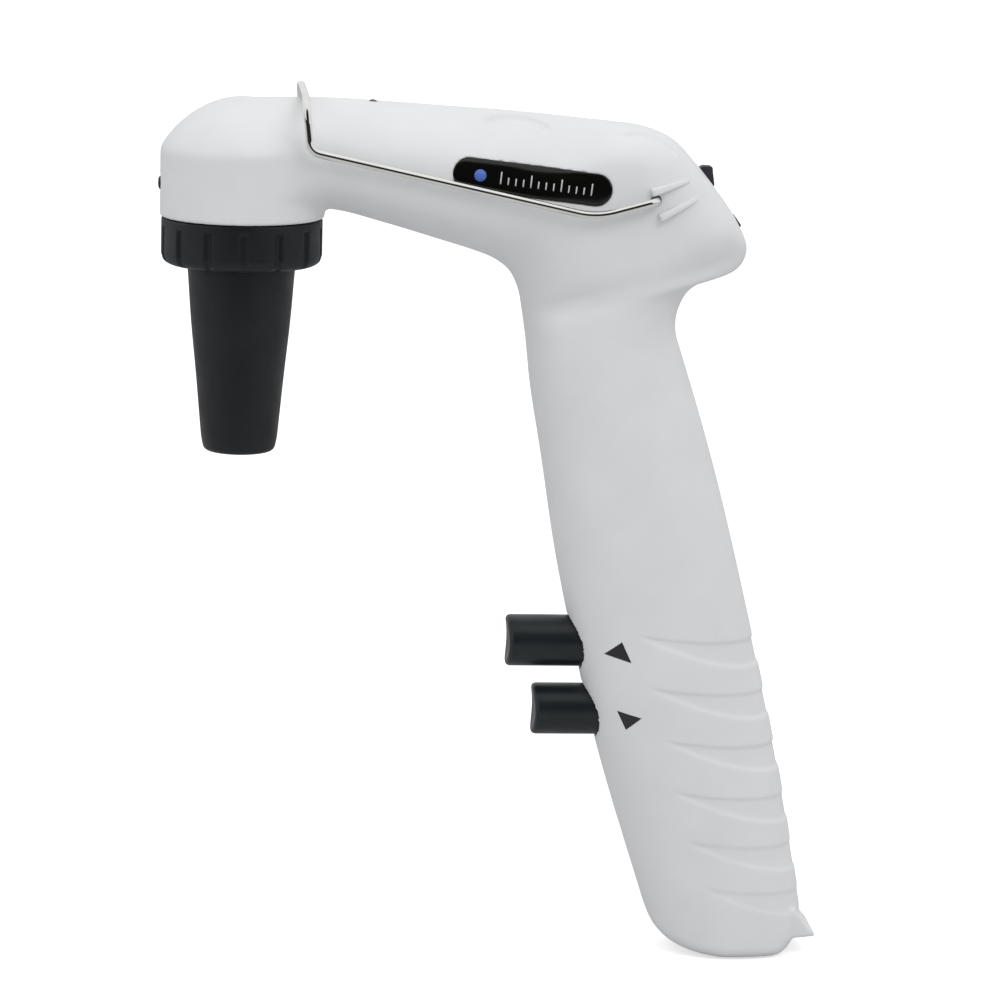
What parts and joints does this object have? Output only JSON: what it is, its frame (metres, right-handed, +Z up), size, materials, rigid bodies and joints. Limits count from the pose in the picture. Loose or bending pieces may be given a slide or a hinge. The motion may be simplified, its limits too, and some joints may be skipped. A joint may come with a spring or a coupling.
{
  "type": "motorized pipette controller",
  "caption": "Pistol-grip battery air pump that draws liquid into and out of a pipette pushed into its nose cone, with trigger buttons and a fold-over wire stand.",
  "frame": {"origin": "middle of the flat sole of the handle", "axes": "+Z up, parallel to the nose axis, +X to the back of the head, left casing half on the -Y side"},
  "size_m": [0.1711, 0.0458, 0.2207],
  "materials": {
    "casing": "fine satin mould texture",
    "nose_plastic": "fine spark-eroded mould texture",
    "button": "fine satin mould texture",
    "badge": "polished",
    "wire": "bright drawn wire",
    "screw_steel": "zinc plated",
    "spring_steel": "drawn",
    "brass": "turned",
    "rubber": "moulded",
    "switch_knob": "moulded",
    "silicone": "translucent silicone",
    "membrane": "moulded capsule with a membrane",
    "inner_plastic": "moulded",
    "board": "solder mask",
    "cell": "shrink sleeve",
    "led": "clear lens over a dark chip",
    "cable": "extruded insulation"
  },
  "bodies": {
    "casing": {"casing_left": "casing", "casing_right": "casing", "badge_left": "badge", "badge_right": "badge", "front_vent_plug": "rubber", "nozzle_seat": "inner_plastic", "aspirate_spring": "spring_steel", "aspirate_valve_ring": "rubber", "aspirate_microswitch": "rubber", "dispense_spring": "spring_steel", "dispense_valve_ring": "rubber", "dispense_microswitch": "rubber", "motor_can": "screw_steel", "connecting_rod": "inner_plastic", "pump_housing": "inner_plastic", "pump_diaphragm": "rubber", "pump_head": "inner_plastic", "valve_block": "inner_plastic", "nose_tube": "silicone", "pressure_tube": "silicone", "vacuum_tube": "silicone", "battery_cell_front": "cell", "battery_cell_rear": "cell", "battery_cradle": "nose_plastic", "circuit_board": "board", "speed_switch_body": "screw_steel", "charge_socket": "switch_knob", "status_led": "led", "motor_cable": "cable", "battery_cable": "cable", "casing_screw_1": "screw_steel", "casing_screw_2": "screw_steel", "casing_screw_3": "screw_steel", "casing_screw_4": "screw_steel", "casing_screw_5": "screw_steel", "casing_screw_6": "screw_steel"},
    "nose": {"nose_cone": "nose_plastic", "pipette_holder": "silicone", "membrane_filter": "membrane", "filter_gasket": "silicone"},
    "ring_nut": {"ring_nut": "nose_plastic"},
    "wire_stand": {"wire_stand": "wire"},
    "aspirate_button": {"aspirate_button": "button", "aspirate_valve_stem": "brass"},
    "dispense_button": {"dispense_button": "button", "dispense_valve_stem": "brass"},
    "speed_switch": {"speed_switch_knob": "switch_knob"},
    "motor_rotor": {"motor_shaft": "screw_steel"}
  },
  "joints": [
    {"name": "stand_swing", "type": "hinge", "parent": "casing", "child": "wire_stand", "pos_m": [-0.02955, 0, 0.1954], "axis": [0, 1, 0], "range_deg": [0, 180]},
    {"name": "aspirate_press", "type": "slide", "parent": "casing", "child": "aspirate_button", "axis": [1, 0, 0], "range_m": [0, 0.004], "deforming": ["aspirate_spring"]},
    {"name": "dispense_press", "type": "slide", "parent": "casing", "child": "dispense_button", "axis": [1, 0, 0], "range_m": [0, 0.004], "deforming": ["dispense_spring"]},
    {"name": "speed_select", "type": "slide", "parent": "casing", "child": "speed_switch", "axis": [0.5719, 0, -0.8203], "range_m": [-0.002, 0.002]},
    {"name": "nose_drop", "type": "slide", "parent": "casing", "child": "nose", "axis": [0, 0, -1], "range_m": [0, 0.0065]},
    {"name": "ring_turn", "type": "hinge", "parent": "nose", "child": "ring_nut", "pos_m": [-0.13185, 0, 0.1814], "axis": [0, 0, -1], "range_deg": [0, 720]},
    {"name": "motor_spin", "type": "hinge", "parent": "casing", "child": "motor_rotor", "pos_m": [-0.07185, 0, 0.1992], "axis": [1, 0, 0], "continuous": true}
  ],
  "couplings": [
    {"joint": "nose_drop", "follows": "ring_turn", "m_per_rad": 0.00050929}
  ]
}
